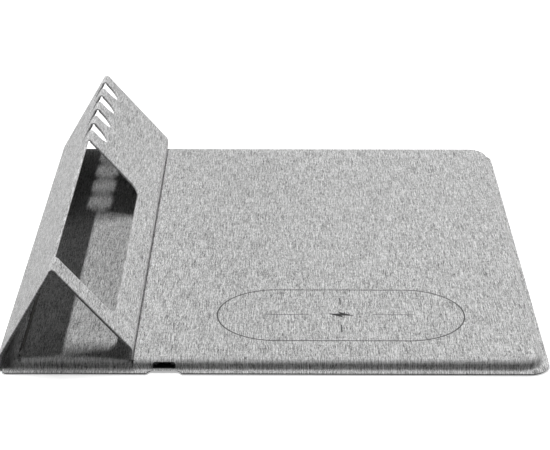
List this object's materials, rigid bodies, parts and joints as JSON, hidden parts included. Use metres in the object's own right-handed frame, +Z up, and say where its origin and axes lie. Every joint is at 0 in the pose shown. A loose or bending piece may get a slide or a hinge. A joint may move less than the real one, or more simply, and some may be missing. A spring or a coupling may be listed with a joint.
{
  "type": "wireless charging desk pad",
  "caption": "Fabric desk pad with a wireless charging zone, a front port and a fold-up tent stand with a window and pen slots.",
  "frame": {"origin": "on the desk, under the middle of the pad's outline with the tent closed as in use", "axes": "+Z up off the desk, +Y from the front edge with the port to the back, +X from the tent to the mouse area"},
  "size_m": [0.3136, 0.35, 0.0631],
  "materials": {
    "melange_fabric": "woven grey melange polyester, pale and dark slubs",
    "lining_fabric": "woven grey melange polyester, slightly darker",
    "border_fabric": "heat-pressed grey melange fabric",
    "grip_rubber": "matt fine-grained rubber",
    "core_board": "stiff pressed fibre board",
    "print_ink": "dark grey printed ink",
    "black_plastic": "fine-textured moulded black plastic",
    "white_plastic": "moulded white plastic",
    "ferrite": "sintered grey-black ferrite",
    "copper_wire": "enamelled copper wire",
    "circuit_board": "green solder mask",
    "chip_black": "moulded chip packages",
    "passive_tan": "ceramic chip parts with tinned ends",
    "connector_steel": "nickel-plated steel",
    "magnet_nickel": "nickel-plated magnet",
    "cable_jacket": "flat black cable jacket"
  },
  "bodies": {
    "base": {"grip_base": "grip_rubber", "border_sheet": "border_fabric", "mat_board": "core_board", "stand_board": "core_board", "mat_cover": "melange_fabric", "stand_cover": "lining_fabric", "charging_mark": "print_ink", "charging_tray": "white_plastic", "tray_lid": "white_plastic", "ferrite_plate": "ferrite", "charging_coil": "copper_wire", "coil_leads": "copper_wire", "coil_thermistor": "black_plastic", "control_board": "circuit_board", "board_chips": "chip_black", "board_passives": "passive_tan", "power_cable": "cable_jacket", "port_board": "circuit_board", "port_bezel": "black_plastic", "usb_c_shell": "connector_steel", "usb_c_tongue": "black_plastic", "base_magnets": "magnet_nickel"},
    "spine": {"spine_cover": "melange_fabric", "spine_board": "core_board", "spine_lining": "lining_fabric", "base_fold": "melange_fabric"},
    "flap": {"flap_cover": "melange_fabric", "flap_board": "core_board", "flap_lining": "lining_fabric", "spine_fold": "melange_fabric"},
    "panel": {"panel_cover": "melange_fabric", "panel_board": "core_board", "panel_lining": "lining_fabric", "ridge_fold": "melange_fabric"},
    "tab": {"tab_cover": "melange_fabric", "tab_board": "core_board", "tab_lining": "lining_fabric", "tab_magnets": "magnet_nickel", "tab_fold": "melange_fabric"}
  },
  "joints": [
    {"name": "spine_crease", "type": "hinge", "parent": "base", "child": "spine", "pos_m": [-0.15435, 0, 0.0025], "axis": [0, 1, 0], "range_deg": [-90, 0], "deforming": ["base_fold"]},
    {"name": "flap_crease", "type": "hinge", "parent": "spine", "child": "flap", "pos_m": [-0.15435, 0, 0.0074], "axis": [0, 1, 0], "range_deg": [-30.4, 0], "deforming": ["spine_fold"]},
    {"name": "ridge_crease", "type": "hinge", "parent": "flap", "child": "panel", "pos_m": [-0.12325, 0, 0.0608], "axis": [0, 1, 0], "range_deg": [-108.5, 0], "deforming": ["ridge_fold"]},
    {"name": "tab_crease", "type": "hinge", "parent": "panel", "child": "tab", "pos_m": [-0.08681, 0, 0.01204], "axis": [0, 1, 0], "range_deg": [-49.1, 0], "deforming": ["tab_fold"]}
  ]
}
